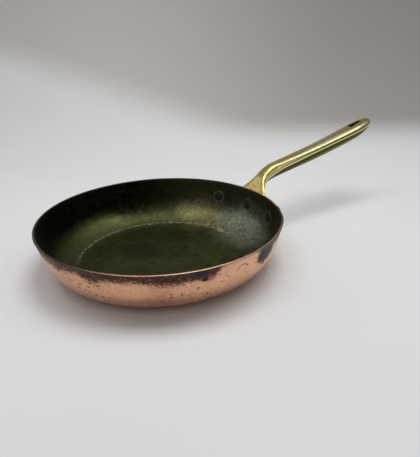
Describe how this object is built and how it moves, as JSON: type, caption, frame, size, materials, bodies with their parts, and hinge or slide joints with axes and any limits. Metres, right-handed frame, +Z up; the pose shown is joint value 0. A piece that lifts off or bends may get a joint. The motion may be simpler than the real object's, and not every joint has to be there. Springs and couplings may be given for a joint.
{
  "type": "frying pan",
  "caption": "Shallow round frying pan of tin-lined copper with flared walls and a long cast brass handle fixed by a riveted flange.",
  "frame": {"origin": "centre of the flat base, on the pan's axis, in the plane that the pan stands on", "axes": "+X along the handle away from the pan, +Z up out of the pan's mouth"},
  "size_m": [0.4433, 0.24, 0.103],
  "materials": {
    "copper": "worn satin copper, tarnished below the rim and pitted",
    "tin": "darkened, lightly scratched tin",
    "brass": "satin cast brass",
    "rivet_copper": "hammered copper, tinned inside the pan"
  },
  "bodies": {
    "root": {"pan_body": "copper", "tin_lining": "tin", "handle": "brass", "rivet_left": "rivet_copper", "rivet_centre": "rivet_copper", "rivet_right": "rivet_copper"}
  },
  "joints": []
}
